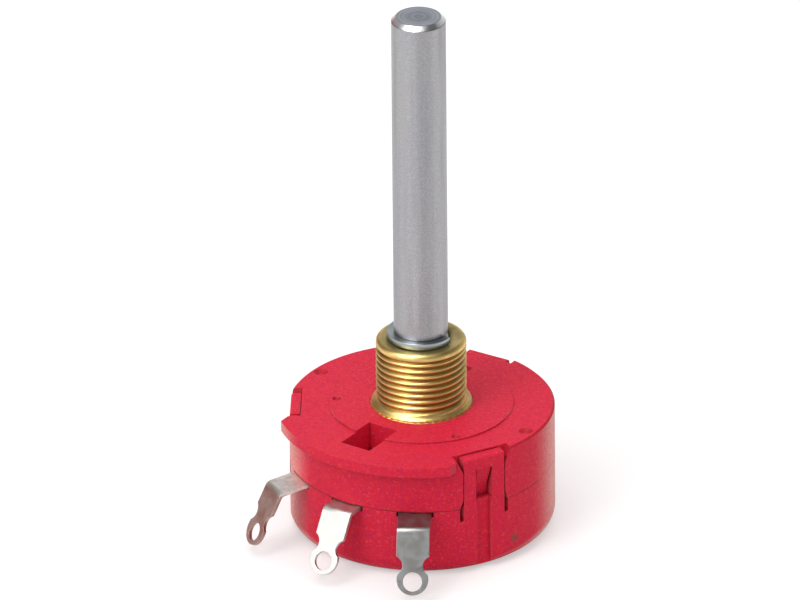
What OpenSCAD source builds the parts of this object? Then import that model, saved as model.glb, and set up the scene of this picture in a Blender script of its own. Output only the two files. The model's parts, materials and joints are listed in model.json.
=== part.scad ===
// Rotary wirewound potentiometer: a snap-together moulded body, a threaded
// bushing, a long plain round shaft and three bent solder lugs.
// Origin: centre of the flat rear face, on the shaft's axis. +Z points to the
// shaft's end and the middle solder lug points towards -Y. Millimetres.

/* [Body] */
// Outside diameter of the moulded body
body_d = 29.4; // [29:0.1:33]
// Height from the rear face to the mounting face
body_h = 14.2; // [14:0.1:16]
// Height of the front housing, from the parting line to the mounting face
front_h = 6.35; // [6.2:0.05:6.8]
// Thickness of the moulded side walls
wall_t = 1.8; // [1.6:0.05:2]
// Thickness of the front wall that carries the bushing
front_wall_t = 2.2; // [2:0.05:2.4]
// Thickness of the rear floor
floor_t = 2.0; // [1.6:0.1:2.2]
// Radius of the rounded rear edge
rear_edge_r = 1.9; // [1:0.1:2.2]
// Bevel of the front edge
front_edge = 0.2; // [0.1:0.05:0.4]
// Radius of the raised mounting face
face_r = 10.15; // [9:0.05:11]
// Height that the mounting face stands above the rim
face_step = 0.18; // [0.1:0.02:0.3]

/* [Front of the body] */
// How far the visor over the solder lugs stands out from the body
visor_overhang = 1.35; // [1:0.05:1.8]
// Thickness of the visor
visor_t = 1.2; // [0.8:0.1:1.6]
// Bevel of the visor's two ends
visor_bevel = 1.0; // [0.4:0.1:1.1]
// Length of the pocket in the mounting face, measured outwards from the axis
pocket_l = 5.5; // [4.8:0.1:5.6]
// Width of the pocket
pocket_w = 3.75; // [3:0.05:4]
// Distance of the pocket's centre from the axis
pocket_at = 10.15; // [10.05:0.05:10.3]
// Depth of the pocket
pocket_depth = 3.4; // [3:0.1:3.8]
// Wall of the stop box that surrounds the pocket inside the housing
stop_wall = 1.1; // [0.9:0.1:1.2]
// Radius of the three small dimples in the mounting face
dimple_r = 0.5; // [0.3:0.05:0.6]
// Distance of those dimples from the axis
dimple_at = 9.4; // [8.6:0.1:9.6]
// Radius of the two larger dimples in the rim
rim_dimple_r = 0.8; // [0.5:0.05:0.9]
// Distance of the larger dimples from the axis
rim_dimple_at = 13.5; // [13:0.1:13.6]
// Depth of all dimples
dimple_depth = 0.3; // [0.2:0.05:0.4]

/* [Snap loops] */
// Overall width of a snap loop
loop_w = 5.0; // [4.4:0.1:5.2]
// Width of the window in a snap loop
window_w = 2.05; // [1.8:0.05:2.3]
// Height of the bar across the top of a snap loop
bar_h = 1.5; // [1.2:0.1:1.7]
// Depth of the bar's top below the mounting face
bar_below = 0.4; // [0.3:0.05:0.8]
// Height of the window
window_h = 3.75; // [3.4:0.05:4]
// Height of the wedge that the loop's bar drops over
catch_h = 3.2; // [2.8:0.1:3.4]
// Thickness of a snap loop from inside to outside
loop_t = 1.15; // [0.9:0.05:1.3]
// Depth of the channel between the loop's two legs
channel_depth = 0.5; // [0.3:0.05:0.7]
// Depth of the slots beside each leg, below the parting line
slot_depth = 1.55; // [1:0.05:1.8]
// Width of those slots
slot_w = 0.5; // [0.4:0.05:0.6]
// Half width of the funnel mouth over a loop, at the rim
mouth_half = 3.5; // [3.1:0.1:3.7]
// Height of the funnel mouth
mouth_h = 1.9; // [1.4:0.1:2.2]
// Gap between a loop and the housing round it
loop_gap = 0.1; // [0.05:0.01:0.15]
// Housing wall behind a loop
pad_t = 1.3; // [1.1:0.05:1.4]

/* [Bushing] */
// Outside diameter of the bushing's thread
bushing_d = 10; // [9:0.1:10.4]
// Height of the bushing above the mounting face
bushing_h = 8; // [6:0.5:12]
// Radius of the rounded shoulder at the bushing's top
shoulder_r = 0.9; // [0.5:0.1:1.1]
// Radius of the serrated seat at the bushing's foot
seat_r = 5.6; // [5.4:0.05:5.8]
// Height of the serrated seat
seat_h = 0.5; // [0.3:0.05:0.8]
// Number of serrations
seat_teeth = 44; // [24:1:60]
// Height of the cone between the seat and the thread
flare_h = 1.3; // [0.8:0.1:1.6]
// Radius of the collar moulded into the front wall
collar_r = 6.5; // [6.2:0.1:7]
// Running clearance of the shaft in its bearings, on the radius
running_gap = 0.03; // [0.02:0.01:0.06]

/* [Shaft] */
// Diameter of the shaft
shaft_d = 6; // [5:0.05:6.3]
// Length of the shaft beyond the mounting face
shaft_l = 47; // [20:1:60]
// Bevel of the shaft's end
shaft_bevel = 0.5; // [0.3:0.1:0.8]
// Diameter of the journal at the shaft's inner end
journal_d = 4; // [3.4:0.1:4.2]
// Width over the two flats that drive the hub
flats_w = 5; // [4.6:0.1:5]
// Diameter at the bottom of the retaining groove
groove_d = 5; // [4.6:0.1:5]
// Outside diameter of the retaining ring
ring_d = 7.5; // [7:0.1:8]
// Thickness of the retaining ring
ring_t = 0.7; // [0.5:0.05:0.8]
// Opening of the retaining ring
ring_opening = 70; // [40:5:90]

/* [Solder lugs] */
// Width of a solder lug
lug_w = 3.6; // [3.2:0.1:3.9]
// Thickness of a solder lug
lug_t = 0.4; // [0.3:0.05:0.5]
// Angle between neighbouring lugs
lug_pitch = 31.3; // [29:0.1:32]
// Distance of the bend from the body's side, for the start, middle and end lug
lug_reach = [3.4, 1.8, 3.2];
// Slope of each lug past its bend
lug_bend = [62, 61, 63.5];
// Slight slope of each lug between the body and its bend
lug_droop = [2, 0, 9];
// Inside radius of the bend
lug_bend_r = 0.4; // [0.3:0.05:0.6]
// Distance from each lug's bend to the centre of its solder hole
eye_at = [5.85, 5.85, 5.4];
// Outside diameter of the eye
eye_d = 3.5; // [3.2:0.1:3.7]
// Diameter of the solder hole
eye_hole_d = 2.1; // [1.8:0.1:2.3]
// Distance of the solder hole beyond the centre of the eye's round outline
eye_offset = 0.25; // [0:0.05:0.3]
// Width of the neck between strip and eye
neck_w = 2.25; // [1.8:0.05:2.4]
// Distance of the neck's narrowest place from the solder hole's centre
neck_at = 1.75; // [1.6:0.05:1.9]
// Radius of the round notches that form the neck
neck_r = 1.1; // [0.9:0.05:1.2]
// Side clearance of a lug in its exit slot
exit_gap = 0.25; // [0.1:0.05:0.4]
// Width of the tab at the lug's inner end
tab_w = 2.4; // [2:0.1:2.8]

/* [Resistance element] */
// Thickness of the strip that carries the winding
former_t = 1.0; // [0.8:0.05:1.1]
// Thickness of one layer of winding
wire_t = 0.25; // [0.2:0.01:0.3]
// Number of turns
turns = 120; // [60:1:160]
// Depth of the groove between two turns
turn_groove = 0.12; // [0.05:0.01:0.15]
// Angle left open between the former's two ends
element_opening = 48; // [44:1:50]
// Angle that an end band covers
band_span = 16; // [14:1:18]
// Free space between the element and the housing
element_gap = 0.6; // [0.5:0.05:0.8]

/* [Rotor] */
// Mechanical travel from stop to stop
travel = 280; // [270:1:284]
// Radius of the hub
hub_r = 5.8; // [5.5:0.1:6]
// Radius of the wiper arm's round middle
arm_r = 6.2; // [6.1:0.1:6.6]
// Radius that the stop lug reaches
stop_r = 9.4; // [9:0.1:9.8]
// Thickness of the wiper arm
arm_t = 0.3; // [0.25:0.01:0.4]
// Radius of the brush that runs on the winding
brush_r = 0.8; // [0.6:0.05:0.9]
// Radius of the brush that runs on the collector
inner_brush_r = 0.7; // [0.5:0.05:0.8]
// Gap left between a brush and its track
contact_gap = 0.1; // [0.05:0.01:0.15]
// Thickness of the collector ring
collector_t = 0.5; // [0.4:0.05:0.6]
// Inner radius of the collector ring
collector_ri = 4; // [3.9:0.1:4.2]
// Outer radius of the collector ring
collector_ro = 6.6; // [6.4:0.1:6.8]
// Thickness of the thrust washer
thrust_t = 0.3; // [0.2:0.05:0.4]
// Height of the conical spring washer
spring_h = 0.3; // [0.25:0.05:0.35]
// End play of the rotor
end_play = 0.06; // [0.03:0.01:0.1]
// Radius of the staked pegs that hold the arm to the hub
peg_r = 0.55; // [0.45:0.05:0.65]

/* [Hidden] */
$fn = 96;
over = 1;                                        // how far a cut runs past a face

// Directions: three snap loops, three lugs, centre of the rotor's travel
clip_az = [for (k = [0 : 2]) -27.4 + 120 * k];
lug_az = [-90 + lug_pitch, -90, -90 - lug_pitch];
travel_az = 90;
dimple_az = [-32.2, 91.8, 209.8];
rim_dimple_az = [2.3, 179.8];
ring_opening_az = 38;

// Radii of the body, from outside to inside
body_r = body_d / 2;
inner_r = body_r - wall_t;
loop_face = sqrt(pow(body_r, 2) - pow(loop_w / 2, 2));   // flat outer face of a loop
chord_x = loop_face - loop_t - loop_gap;                 // flat wall behind a loop
pad_x = chord_x - pad_t;
element_ro = pad_x - element_gap;
former_ro = element_ro - wire_t;
former_ri = former_ro - former_t;
element_ri = former_ri - wire_t;
track_r = (former_ro + former_ri) / 2;
rivet_at = (element_ro + inner_r) / 2;
lip_ro = inner_r - loop_gap;
lip_ri = lip_ro - 0.65;

// Heights of the body, from the rear face up
split_z = body_h - front_h;
rim_z = body_h - face_step;
ceiling_z = body_h - front_wall_t;
lug_z = split_z - 0.05 - lug_t;
pillar_top = lug_z - collector_t;
former_top = lug_z - wire_t;
former_z = floor_t + wire_t;

// Heights of the rotor
middle_inset = lug_reach[0] - lug_reach[1];              // how far in the middle lug sits
rivet_head_t = 0.3;
rivet_r = 0.6;
rivet_head_r = 0.75;
arm_clear = 0.2;
arm_z = lug_z + lug_t + rivet_head_t + arm_clear;
hub_z = arm_z + arm_t;
hub_top = ceiling_z - thrust_t - end_play - spring_h;
brush_z = lug_z + contact_gap;

// Shaft and bushing
shaft_r = shaft_d / 2;
shaft_top = body_h + shaft_l;
bushing_r = bushing_d / 2;
bushing_top = body_h + bushing_h;
bearing_r = shaft_r + running_gap;
groove_z = bushing_top + 0.05;
journal_r = journal_d / 2;
journal_end = 1.7;
pillar_ri = journal_r + running_gap;
pillar_ro = collector_ro + 0.4;
gate_at = (pillar_ri + pillar_ro) / 2 + 1.4;              // moulding gate in the rear face

// Visor, from the mouth over one snap loop to the next
mouth_span = asin(mouth_half / body_r);
visor_az = (clip_az[0] + clip_az[2] - 360) / 2;
visor_span = 120 - 2 * mouth_span;
visor_r = body_r + visor_overhang;

// Stop box under the pocket, and the lug that meets it at both ends of the travel
stop_half = pocket_w / 2 + stop_wall;
stop_face = pocket_at - pocket_l / 2 - stop_wall;
stop_z = body_h - pocket_depth - 1;
stop_corner_r = norm([stop_half, stop_face]);
stop_corner_az = atan2(stop_half, stop_face);
stop_play = 0.08;
stop_lug_half = stop_corner_r * sin(180 - travel / 2 - stop_corner_az) - stop_play;

// Quarter circle left over at a rounded corner
module corner_waste(r) {
    difference() {
        square(r + over);
        circle(r);
    }
}

// Flat ring
module ring(ro, ri, h) {
    linear_extrude(h) difference() {
        circle(ro);
        circle(ri);
    }
}

// Places its children at each snap loop
module at_clips() {
    for (az = clip_az) rotate([0, 0, az]) children();
}

// Places its children at each solder lug
module at_lugs() {
    for (az = lug_az) rotate([0, 0, az]) children();
}

// Block with a given span in x, half width in y and span in z
module block(x0, x1, half, z0, z1) {
    translate([x0, -half, z0]) cube([x1 - x0, 2 * half, z1 - z0]);
}

// Outline in y and z, pushed through from x0 to x1
module side_cut(x0, x1, points) {
    translate([x0, 0, 0]) rotate([90, 0, 90]) linear_extrude(x1 - x0) polygon(points);
}

// Profile of the bushing inside the front wall, which the housing copies
module bushing_root() {
    neck = seat_r + 0.05;
    foot = bushing_r + 0.6;
    collar_z = ceiling_z + 0.5;
    collar_h = front_wall_t - 1.2;
    translate([0, ceiling_z]) square([foot, 0.5]);
    translate([0, collar_z]) square([collar_r, collar_h]);
    translate([0, collar_z + collar_h]) square([neck, body_h - collar_z - collar_h]);
}

// Cap of the front housing, turned about the axis
module front_cap() {
    rotate_extrude() difference() {
        union() {
            translate([0, split_z]) square([body_r, rim_z - split_z]);
            translate([0, rim_z - over]) square([face_r, body_h - rim_z + over]);
        }
        translate([0, split_z - over]) square([inner_r, ceiling_z - split_z + over]);
        translate([body_r, rim_z]) rotate(45) square(front_edge * sqrt(2), center = true);
        bushing_root();
    }
}

// Lip that centres the front housing in the rear one, left open at the lugs
module centring_lip() {
    lip_h = 0.8;
    open = 2 * lug_pitch + 36;
    rotate([0, 0, -90 + open / 2]) rotate_extrude(angle = 360 - open) {
        translate([lip_ri, split_z - lip_h]) square([lip_ro - lip_ri, lip_h]);
        translate([lip_ri, split_z]) square([inner_r + 0.5 - lip_ri, lip_h]);
    }
}

// Thin visor that covers the lugs' exit slots
module visor() {
    far = 2 * visor_r;
    translate([0, 0, rim_z - visor_t]) linear_extrude(visor_t) difference() {
        intersection() {
            circle(visor_r);
            rotate(visor_az) polygon([
                [0, 0],
                [far * cos(visor_span / 2), far * sin(visor_span / 2)],
                [far * cos(visor_span / 2), -far * sin(visor_span / 2)]
            ]);
        }
        circle(body_r - 0.6);
        for (side = [-1, 1]) rotate(visor_az + side * visor_span / 2)
            translate([visor_r, 0]) rotate(45) square(visor_bevel * sqrt(2), center = true);
    }
}

// Channel of one snap loop in the front housing: straight walls, a funnel mouth
// at the rim and slanted corners at the parting line
module loop_channel() {
    half = loop_w / 2 + loop_gap;
    corner_h = 1.1;
    foot = half + (slot_w - loop_gap) * (corner_h + over) / corner_h;
    side_cut(chord_x, body_r + over, [
        [-foot, split_z - over], [foot, split_z - over], [half, split_z + corner_h],
        [half, body_h - mouth_h], [mouth_half, body_h], [mouth_half, body_h + over],
        [-mouth_half, body_h + over], [-mouth_half, body_h], [-half, body_h - mouth_h],
        [-half, split_z + corner_h]
    ]);
}

// Wedge that a snap loop's bar drops over
module catch() {
    ledge_z = body_h - bar_below - bar_h - loop_gap / 2;
    low_z = ledge_z - catch_h;
    wide = window_w / 2 - 0.15;
    narrow = 0.6;
    root_x = chord_x - 0.2;
    intersection() {
        translate([0, body_r, 0]) rotate([90, 0, 0]) linear_extrude(2 * body_r) polygon([
            [root_x, low_z], [chord_x + 0.1, low_z], [loop_face - 0.2, ledge_z - 0.4],
            [loop_face - 0.2, ledge_z], [root_x, ledge_z]
        ]);
        side_cut(root_x, body_r, [
            [-narrow, low_z], [narrow, low_z], [wide, ledge_z], [-wide, ledge_z]
        ]);
    }
}

// Shallow round dimple of radius r in a level face
module dimple(az, at, face_z, r) {
    ball_r = (pow(r, 2) + pow(dimple_depth, 2)) / (2 * dimple_depth);
    translate([at * cos(az), at * sin(az), face_z + ball_r - dimple_depth]) sphere(ball_r);
}

module front_housing() {
    pad_half = mouth_half + 0.6;
    color("crimson") {
        difference() {
            union() {
                front_cap();
                centring_lip();
                visor();
                at_clips() block(pad_x, chord_x + 0.4, pad_half, split_z + 0.3, ceiling_z + 0.2);
                rotate([0, 0, -90])
                    block(stop_face, inner_r + 0.4, stop_half, stop_z, ceiling_z + 0.2);
            }
            at_clips() loop_channel();
            for (az = dimple_az) dimple(az, dimple_at, body_h, dimple_r);
            for (az = rim_dimple_az) dimple(az, rim_dimple_at, rim_z, rim_dimple_r);
            rotate([0, 0, -90]) block(pocket_at - pocket_l / 2, pocket_at + pocket_l / 2,
                pocket_w / 2, body_h - pocket_depth, body_h + over);
        }
        at_clips() catch();
    }
}

// Cup of the rear housing, turned about the axis
module rear_cup() {
    rotate_extrude() difference() {
        square([body_r, split_z]);
        translate([body_r - rear_edge_r, rear_edge_r]) mirror([0, 1]) corner_waste(rear_edge_r);
        translate([pillar_ro, floor_t]) square([inner_r - pillar_ro, split_z]);
        translate([0, pillar_top]) square([inner_r, split_z]);
        // cored space between the bearing tube and the collector's support
        translate([pillar_ri + 1.5, floor_t]) square([pillar_ro - pillar_ri - 2.9, split_z]);
        translate([0, 1.2]) square([pillar_ri, split_z]);
    }
}

// Ribs that hold the resistance element between the wall and an inner ring
module element_seat() {
    rib_h = 1.6;
    rib_t = 0.8;
    translate([0, 0, floor_t - 0.2]) ring(element_ri - 0.1, element_ri - 0.9, rib_h + 0.2);
    for (k = [0 : 9]) rotate([0, 0, -45 + 30 * k])
        block(element_ro + 0.05, inner_r + 0.4, rib_t / 2, floor_t - 0.2, pillar_top - 0.8);
    for (k = [0 : 5]) rotate([0, 0, 60 * k])
        block(pillar_ri + 1.2, pillar_ro - 1.1, rib_t / 2, floor_t - 0.2, pillar_top - 0.5);
}

// One snap loop above the parting line
module snap_loop() {
    inner_x = loop_face - loop_t;
    top = body_h - bar_below;
    window_z = top - bar_h - window_h;
    difference() {
        block(inner_x, loop_face, loop_w / 2, split_z - 0.5, top);
        block(inner_x - over, loop_face + over, window_w / 2, window_z, top - bar_h);
        block(loop_face - channel_depth, loop_face + over, window_w / 2 - 0.15,
            split_z - over, window_z + over);
        // rounded outer edge of the bar
        translate([loop_face - 0.35, 0, top - 0.35]) rotate([90, 0, 0])
            linear_extrude(2 * loop_w, center = true) corner_waste(0.35);
    }
}

// Cuts round one snap loop below the parting line
module loop_relief() {
    block(loop_face, body_r + over, loop_w / 2, -over, split_z + over);
    block(loop_face - channel_depth, body_r + over, window_w / 2 - 0.15, -over, split_z + over);
    for (side = [-1, 1]) translate([0, side * (loop_w + slot_w) / 2, split_z - slot_depth]) {
        block(inner_r - over, body_r + over, slot_w / 2, slot_w / 2, slot_depth + over);
        translate([inner_r - over, 0, slot_w / 2]) rotate([0, 90, 0])
            cylinder(d = slot_w, h = wall_t + 2 * over);
    }
}

module rear_housing() {
    color("crimson") {
        difference() {
            union() {
                rear_cup();
                element_seat();
            }
            at_clips() loop_relief();
            at_lugs() block(inner_r - 0.6, body_r + over, lug_w / 2 + exit_gap,
                lug_z - 0.12, split_z + over);
            // shallow moulding gate in the rear face
            translate([0, gate_at, -over]) cylinder(r = 1.5, h = over + 0.25);
        }
        at_clips() snap_loop();
    }
}

// Part of the bushing above the mounting face, before it is bored
module bushing_barrel() {
    flare_z = body_h + seat_h;
    rotate_extrude() difference() {
        union() {
            bushing_root();
            translate([0, body_h]) square([seat_r - 0.3, seat_h]);
            polygon([
                [0, flare_z], [seat_r - 0.3, flare_z], [bushing_r, flare_z + flare_h],
                [bushing_r, bushing_top], [0, bushing_top]
            ]);
        }
        translate([bushing_r - shoulder_r, bushing_top - shoulder_r]) corner_waste(shoulder_r);
    }
}

// Serrated edge that bites into the panel washer
module serrated_seat() {
    step = 360 / seat_teeth;
    translate([0, 0, body_h]) linear_extrude(seat_h) polygon([
        for (k = [0 : seat_teeth - 1]) each [
            [seat_r * cos(k * step), seat_r * sin(k * step)],
            [(seat_r - 0.2) * cos((k + 0.5) * step), (seat_r - 0.2) * sin((k + 0.5) * step)]
        ]
    ]);
}

module bushing() {
    color("goldenrod") difference() {
        union() {
            bushing_barrel();
            serrated_seat();
        }
        translate([0, 0, ceiling_z - over]) cylinder(r = bearing_r, h = front_wall_t + bushing_h + 2 * over);
    }
}

module thrust_washer() {
    color("peru") translate([0, 0, ceiling_z - thrust_t]) ring(hub_r - 0.8, bearing_r, thrust_t);
}

// Ring sector with a rectangular section, centred on the side opposite the lugs
module element_arc(opening, ri, ro, z0, z1) {
    rotate([0, 0, -90 + opening / 2]) rotate_extrude(angle = 360 - opening)
        translate([ri, z0]) square([ro - ri, z1 - z0]);
}

module winding_former() {
    color("tan") element_arc(element_opening, former_ri, former_ro, former_z, former_top);
}

module resistance_winding() {
    opening = element_opening + 2 * band_span + 4;
    step = (360 - opening) / turns;
    start = -90 + opening / 2;
    outer = [for (k = [0 : turns]) each [
        [element_ro, start + k * step],
        if (k < turns) [element_ro - turn_groove, start + (k + 0.5) * step]
    ]];
    inner = [for (k = [turns : -1 : 0]) each [
        [element_ri, start + k * step],
        if (k > 0) [element_ri + turn_groove, start + (k - 0.5) * step]
    ]];
    color("silver") difference() {
        translate([0, 0, floor_t]) linear_extrude(lug_z - floor_t)
            polygon([for (p = concat(outer, inner)) [p[0] * cos(p[1]), p[0] * sin(p[1])]]);
        element_arc(opening - 2, former_ri, former_ro, former_z, former_top);
    }
}

// Folded band over one end of the former, with an ear under the solder lug
module winding_band(side) {
    edge = -90 + side * (element_opening / 2 + 1 + band_span / 2);
    ear_az = -90 + side * lug_pitch;
    color("khaki") difference() {
        union() {
            rotate([0, 0, edge - band_span / 2]) rotate_extrude(angle = band_span) difference() {
                translate([element_ri, former_z]) square([element_ro - element_ri, lug_z - former_z]);
                translate([former_ri, former_z - over]) square([former_t, former_top - former_z + over]);
            }
            rotate([0, 0, ear_az])
                block(element_ro - wire_t / 2, inner_r - 0.15, tab_w / 2, former_top, lug_z);
        }
        rotate([0, 0, ear_az]) translate([rivet_at, 0, 0]) cylinder(r = rivet_r, h = body_h);
    }
}

module winding_band_start() {
    winding_band(1);
}

module winding_band_end() {
    winding_band(-1);
}

module collector_ring() {
    color("khaki") translate([0, 0, pillar_top]) linear_extrude(collector_t) difference() {
        union() {
            circle(collector_ro);
            rotate(-90) translate([collector_ro - 1, -tab_w / 2]) square([inner_r - middle_inset - collector_ro + 0.85, tab_w]);
        }
        circle(collector_ri);
        rotate(-90) translate([rivet_at - middle_inset, 0]) circle(rivet_r);
    }
}

module circle_at(x, r) {
    translate([x, 0]) circle(r);
}

// Outline of a lug beyond its bend: strip, neck and eye, along +x
module eye_outline(hole_x) {
    eye_x = hole_x - eye_offset;
    neck_x = hole_x - neck_at;
    difference() {
        union() {
            translate([0, -lug_w / 2]) square([neck_x, lug_w]);
            translate([0, -neck_w / 2]) square([eye_x, neck_w]);
            circle_at(eye_x, eye_d / 2);
        }
        circle_at(hole_x, eye_hole_d / 2);
        for (side = [-1, 1]) translate([neck_x, side * (neck_w / 2 + neck_r)]) circle(neck_r);
    }
}

// Directions along and square to a strip that slopes down by an angle
function along(slope) = [cos(slope), -sin(slope)];
function square_to(slope) = [sin(slope), cos(slope)];

// Side view of a bent lug, as x and z: flat strip, droop, bend and sloping strip
function lug_side(start_x, centre, bend, droop, slope_l) =
    let (
        steps = 10,
        turn = (bend - droop) / steps,
        outer = lug_bend_r + lug_t,
        droop_x = body_r + 0.3
    )
    concat(
        [[start_x, lug_z], [start_x, lug_z + lug_t], [droop_x, lug_z + lug_t]],
        [for (k = [0 : steps]) centre + outer * square_to(droop + k * turn)],
        [for (r = [outer, lug_bend_r]) centre + r * square_to(bend) + slope_l * along(bend)],
        [for (k = [steps : -1 : 0]) centre + lug_bend_r * square_to(droop + k * turn)],
        [[droop_x - lug_t * tan(droop / 2), lug_z]]
    );

// Stamped and bent solder lug, lying along +x, with its inner end shifted inwards
module solder_lug(reach, bend, droop, hole_at, shift = 0) {
    bend_at = body_r + reach;
    outer = lug_bend_r + lug_t;
    from_bend = outer * tan((bend - droop) / 2);
    drop = (bend_at - body_r - 0.3) * tan(droop);
    centre = [bend_at, lug_z + lug_t - drop] - from_bend * along(droop) - outer * square_to(droop);
    start_x = element_ro + 0.1 - shift;
    tab_end = inner_r - 0.3 - shift;
    slope_l = hole_at - from_bend + eye_d / 2;
    trim_w = (lug_w - tab_w) / 2;
    color("lightgray") difference() {
        rotate([90, 0, 0]) linear_extrude(lug_w, center = true)
            polygon(lug_side(start_x, centre, bend, droop, slope_l));
        for (side = [-1, 1]) translate([0, side * (tab_w + trim_w + over) / 2, lug_z + lug_t / 2])
            cube([2 * tab_end, trim_w + over, 2 * lug_t], center = true);
        translate([rivet_at - shift, 0, 0]) cylinder(r = rivet_r, h = body_h);
        translate([centre[0], 0, centre[1]]) rotate([0, bend, 0])
            translate([0, 0, lug_bend_r - over]) linear_extrude(lug_t + 2 * over) difference() {
                translate([1, -lug_w]) square([slope_l, 2 * lug_w]);
                eye_outline(hole_at - from_bend);
            }
    }
}

module terminal_start() {
    rotate([0, 0, lug_az[0]]) solder_lug(lug_reach[0], lug_bend[0], lug_droop[0], eye_at[0]);
}

module terminal_wiper() {
    rotate([0, 0, lug_az[1]]) solder_lug(lug_reach[1], lug_bend[1], lug_droop[1], eye_at[1], middle_inset);
}

module terminal_end() {
    rotate([0, 0, lug_az[2]]) solder_lug(lug_reach[2], lug_bend[2], lug_droop[2], eye_at[2]);
}

// Rivet through a lug's tab and the sheet of given thickness below it
module lug_rivet(az, sheet_t, shift = 0) {
    low = lug_z - sheet_t - rivet_head_t;
    high = lug_z + lug_t;
    color("silver") rotate([0, 0, az]) translate([rivet_at - shift, 0, 0]) rotate_extrude() {
        translate([0, low]) square([rivet_head_r, rivet_head_t]);
        translate([0, low]) square([rivet_r, high + rivet_head_t - low]);
        translate([0, high]) square([rivet_head_r, rivet_head_t]);
    }
}

module rivet_start() {
    lug_rivet(lug_az[0], wire_t);
}

module rivet_wiper() {
    lug_rivet(lug_az[1], collector_t, middle_inset);
}

module rivet_end() {
    lug_rivet(lug_az[2], wire_t);
}

// Section of the shaft inside the hub: a circle with two flats
module drive_section() {
    intersection() {
        circle(shaft_r);
        square([2 * shaft_r, flats_w], center = true);
    }
}

module shaft() {
    groove_r = groove_d / 2;
    groove_end = groove_z + ring_t + 0.1;
    color("darkgray") {
        translate([0, 0, hub_z]) linear_extrude(hub_top - hub_z) drive_section();
        rotate_extrude() polygon([
            [0, journal_end], [journal_r - 0.3, journal_end], [journal_r, journal_end + 0.3],
            [journal_r, hub_top], [shaft_r, hub_top], [shaft_r, groove_z],
            [groove_r, groove_z], [groove_r, groove_end], [shaft_r, groove_end],
            [shaft_r, shaft_top - shaft_bevel], [shaft_r - shaft_bevel, shaft_top], [0, shaft_top]
        ]);
    }
}

module retaining_ring() {
    far = ring_d;
    color("slategray") translate([0, 0, groove_z + 0.05]) linear_extrude(ring_t) difference() {
        circle(ring_d / 2);
        circle(groove_d / 2);
        rotate(ring_opening_az) polygon([
            [0, 0], [far, far * tan(ring_opening / 2)], [far, -far * tan(ring_opening / 2)]
        ]);
    }
}

module spring_washer() {
    half = spring_h / 2;
    color("silver") rotate_extrude() polygon([
        [shaft_r + 0.2, hub_top + half], [hub_r - 0.7, hub_top],
        [hub_r - 0.7, hub_top + half], [shaft_r + 0.2, hub_top + spring_h]
    ]);
}

// Places its children at the two staked pegs that hold the arm to the hub
module at_pegs() {
    for (side = [-1, 1]) translate([side * (shaft_r + 1.6), 0, 0]) children();
}

module rotor_hub() {
    color("dimgray") {
        difference() {
            translate([0, 0, hub_z]) linear_extrude(hub_top - hub_z) difference() {
                circle(hub_r);
                drive_section();
            }
            // relief round the hub's top edge
            translate([0, 0, hub_top - 0.6]) ring(hub_r + over, hub_r - 0.4, over);
        }
        rotate([0, 0, travel_az]) translate([0, 0, hub_z + 0.6]) linear_extrude(hub_top - hub_z - 0.9)
            intersection() {
                circle(stop_r);
                translate([hub_r - 1.5, -stop_lug_half]) square([stop_r, 2 * stop_lug_half]);
            }
        at_pegs() {
            translate([0, 0, arm_z]) cylinder(r = peg_r, h = arm_t + 0.1);
            translate([0, 0, arm_z - 0.25]) cylinder(r = peg_r + 0.35, h = 0.25);
        }
    }
}

// Spring arm: a round middle, a long finger with a round end, and the slots that
// free a short finger over the collector
module wiper_arm() {
    end_r = brush_r + 0.2;
    inner_at = (collector_ri + collector_ro) / 2;
    color("chocolate") rotate([0, 0, travel_az]) translate([0, 0, arm_z]) difference() {
        union() {
            cylinder(r = arm_r, h = arm_t);
            linear_extrude(arm_t)
                polygon([[0, 2.6], [track_r, end_r - 0.1], [track_r, 0.1 - end_r], [0, -2.6]]);
            translate([track_r, 0, 0]) cylinder(r = end_r, h = arm_t);
        }
        translate([0, 0, -over]) linear_extrude(arm_t + 2 * over) {
            circle(journal_r + 0.3);
            for (side = [-1, 1]) translate([0, side * (shaft_r + 1.6)]) circle(peg_r);
            circle_at(track_r, 0.5);
            circle_at(-inner_at, 0.45);
            for (side = [-1, 1]) translate([-journal_r - 1 - arm_r, side * 1.3 - 0.15])
                square([arm_r, 0.3]);
            translate([arm_r - 0.6, -0.15]) square([track_r - arm_r - 0.9, 0.3]);
        }
    }
}

module winding_brush() {
    color("black") rotate([0, 0, travel_az]) translate([track_r, 0, 0]) rotate_extrude() {
        polygon([
            [0, brush_z], [brush_r - 0.2, brush_z], [brush_r, brush_z + 0.2], [brush_r, arm_z], [0, arm_z]
        ]);
        translate([0, arm_z]) square([0.5, arm_t]);
        translate([0, hub_z]) square([brush_r, 0.2]);
    }
}

module collector_brush() {
    inner_at = (collector_ri + collector_ro) / 2;
    color("black") rotate([0, 0, travel_az + 180]) translate([inner_at, 0, 0]) rotate_extrude() {
        polygon([
            [0, brush_z], [inner_brush_r - 0.2, brush_z], [inner_brush_r, brush_z + 0.2],
            [inner_brush_r, arm_z], [0, arm_z]
        ]);
        translate([0, arm_z]) square([0.45, arm_t]);
    }
}

front_housing();
rear_housing();
bushing();
thrust_washer();
winding_former();
resistance_winding();
winding_band_start();
winding_band_end();
collector_ring();
terminal_start();
terminal_wiper();
terminal_end();
rivet_start();
rivet_wiper();
rivet_end();
shaft();
retaining_ring();
spring_washer();
rotor_hub();
wiper_arm();
winding_brush();
collector_brush();
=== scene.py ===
"""Dresses the rotary potentiometer: red moulded body, brass bushing, steel shaft and tinned lugs.

Run it as a script in Blender. Every size is in metres, and every piece keeps the place that the solids
give it.
"""

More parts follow.
